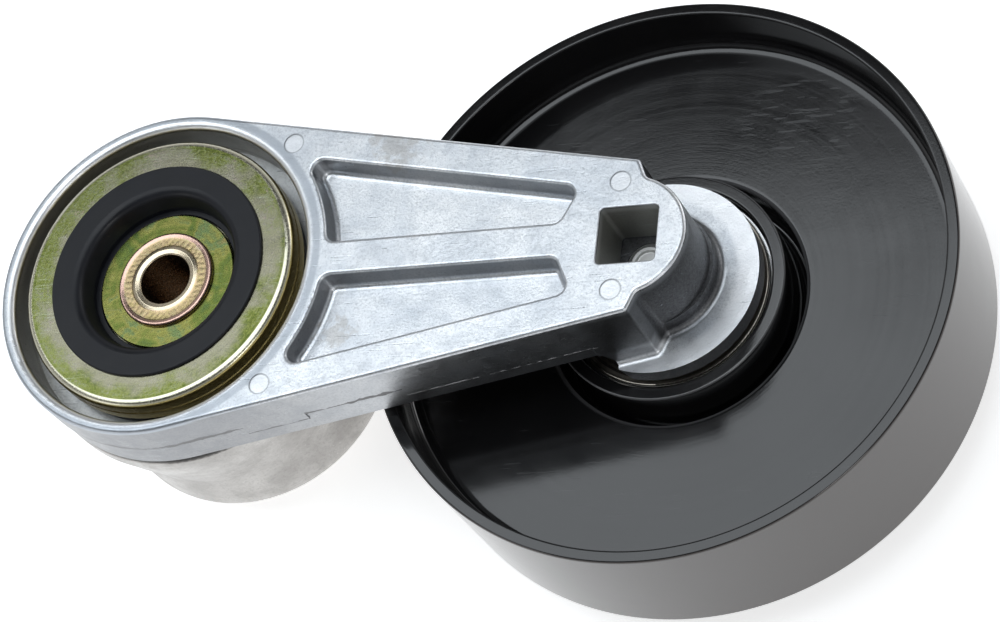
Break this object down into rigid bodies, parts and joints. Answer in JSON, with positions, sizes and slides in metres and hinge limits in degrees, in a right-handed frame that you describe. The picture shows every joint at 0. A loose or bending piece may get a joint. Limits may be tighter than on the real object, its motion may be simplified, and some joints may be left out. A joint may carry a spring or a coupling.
{
  "type": "belt tensioner",
  "caption": "Automatic belt tensioner: a cast arm with a flat idler pulley on a ball bearing, swung by a torsion spring in a case that bolts to an engine.",
  "frame": {"origin": "centre of the mounting face on the pivot axis, where the mounting bolt enters the engine", "axes": "+Z along the pivot from the mounting face to the arm's front face, +X from the pivot axis to the pulley axis with the arm at its free stop"},
  "size_m": [0.2129, 0.1308, 0.0648],
  "materials": {
    "arm_aluminium": "as-cast, satin",
    "case_aluminium": "as-cast, mottled",
    "yellow_zinc": "yellow passivated zinc plate",
    "gold_zinc": "gold passivated zinc plate",
    "black_rubber": "smooth",
    "nylon": "glass-filled nylon",
    "spring_steel": "oiled",
    "bright_steel": "bright zinc plate",
    "bearing_steel": "ground",
    "black_paint": "satin black electrocoat"
  },
  "bodies": {
    "base": {"spring_case": "case_aluminium", "locating_pin": "bright_steel", "pivot_tube": "gold_zinc", "retaining_washer": "yellow_zinc", "front_plate": "yellow_zinc", "seal_ring": "black_rubber", "rear_thrust_washer": "nylon", "damping_ring": "nylon", "spring_seat": "nylon", "torsion_spring": "spring_steel"},
    "arm": {"arm_pivot_end": "arm_aluminium", "arm_beam": "arm_aluminium", "front_bush": "nylon", "rear_bush": "nylon", "thrust_washer": "nylon", "pulley_bolt": "bright_steel", "bolt_washer": "bright_steel", "front_dust_shield": "bright_steel", "rear_dust_shield": "bright_steel", "bearing_inner_ring": "bearing_steel"},
    "ball_set": {"bearing_balls": "bearing_steel", "cage_front_half": "bright_steel", "cage_rear_half": "bright_steel", "cage_rivets": "bright_steel"},
    "pulley": {"pulley_rim": "black_paint", "pulley_web": "black_paint", "pulley_hub": "black_paint", "bearing_outer_ring": "bearing_steel", "front_bearing_seal": "black_rubber", "rear_bearing_seal": "black_rubber"}
  },
  "joints": [
    {"name": "arm_swing", "type": "hinge", "parent": "base", "child": "arm", "pos_m": [0, 0, 0], "axis": [0, 0, 1], "range_deg": [0, 60], "stiffness_Nm_per_rad": 40, "springref_deg": -34.38, "deforming": ["torsion_spring"]},
    {"name": "pulley_spin", "type": "hinge", "parent": "arm", "child": "pulley", "pos_m": [0.109, 0, 0.0218], "axis": [0, 0, 1], "continuous": true},
    {"name": "ball_set_spin", "type": "hinge", "parent": "arm", "child": "ball_set", "pos_m": [0.109, 0, 0.0224], "axis": [0, 0, 1], "continuous": true}
  ],
  "couplings": [
    {"joint": "ball_set_spin", "follows": "pulley_spin", "ratio": 0.6164}
  ]
}
